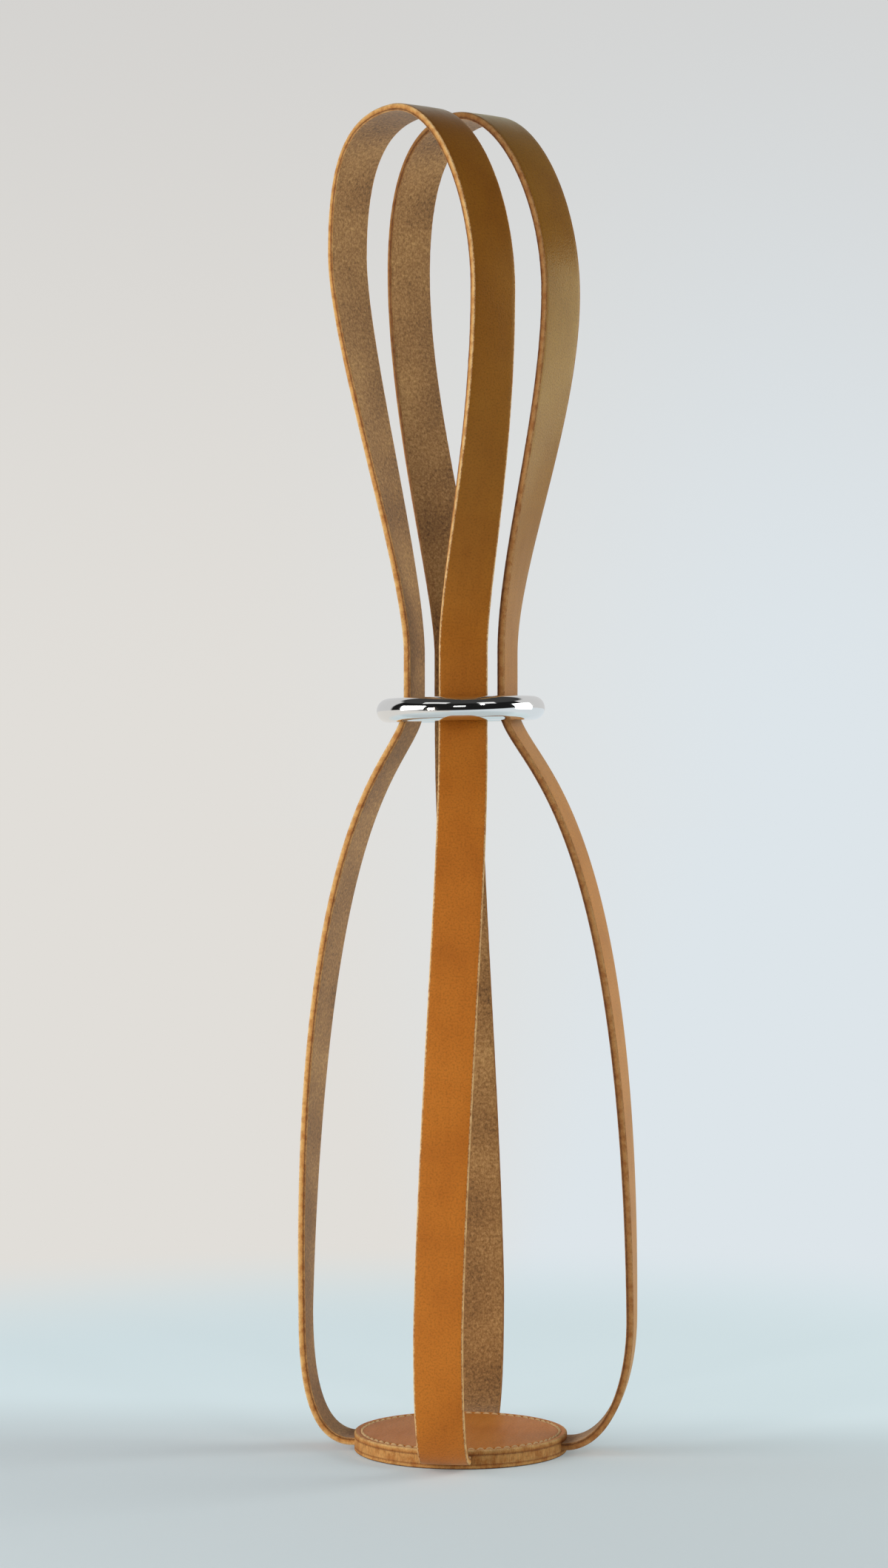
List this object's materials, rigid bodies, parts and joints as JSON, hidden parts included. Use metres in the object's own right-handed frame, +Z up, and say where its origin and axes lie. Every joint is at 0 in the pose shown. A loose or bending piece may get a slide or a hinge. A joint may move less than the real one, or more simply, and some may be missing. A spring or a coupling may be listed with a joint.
{
  "type": "bottle carrier",
  "caption": "Upright leather carrier for one wine bottle: straps sewn into a round layered base rise past the bottle, pass through a neck ring and form carrying loops.",
  "frame": {"origin": "middle of the base's underside, on the surface it stands on", "axes": "+Z up along the bottle; the legs stand at -X (left), -Y (front), +X (right) and +Y (back)"},
  "size_m": [0.1126, 0.1146, 0.4468],
  "materials": {
    "strap_leather": "smooth satin grain, fibrous flesh side",
    "base_leather": "smooth satin grain, burnished edge",
    "thread": "waxed thread",
    "ring_metal": "polished"
  },
  "bodies": {
    "base": {"base_bottom_disc": "base_leather", "base_top_disc": "base_leather", "base_filler_right_back": "base_leather", "base_filler_back_left": "base_leather", "base_filler_left_front": "base_leather", "base_filler_front_right": "base_leather", "base_stitching": "thread", "left_leg": "strap_leather", "front_leg": "strap_leather", "right_leg": "strap_leather", "back_leg": "strap_leather"},
    "ring": {"neck_ring": "ring_metal"},
    "front_handle": {"left_front_loop": "strap_leather"},
    "back_handle": {"back_right_loop": "strap_leather"}
  },
  "joints": [
    {"name": "ring_slide", "type": "slide", "parent": "base", "child": "ring", "axis": [0, 0, 1], "range_m": [0, 0.02]},
    {"name": "front_handle_lean", "type": "hinge", "parent": "base", "child": "front_handle", "pos_m": [-0.00734, -0.00716, 0.29], "axis": [0.6983, -0.7158, 0], "range_deg": [-1.5, 30], "stiffness_Nm_per_rad": 0.2},
    {"name": "back_handle_lean", "type": "hinge", "parent": "base", "child": "back_handle", "pos_m": [0.0068, 0.00679, 0.29], "axis": [-0.7065, 0.7077, 0], "range_deg": [-1.5, 30], "stiffness_Nm_per_rad": 0.2}
  ]
}
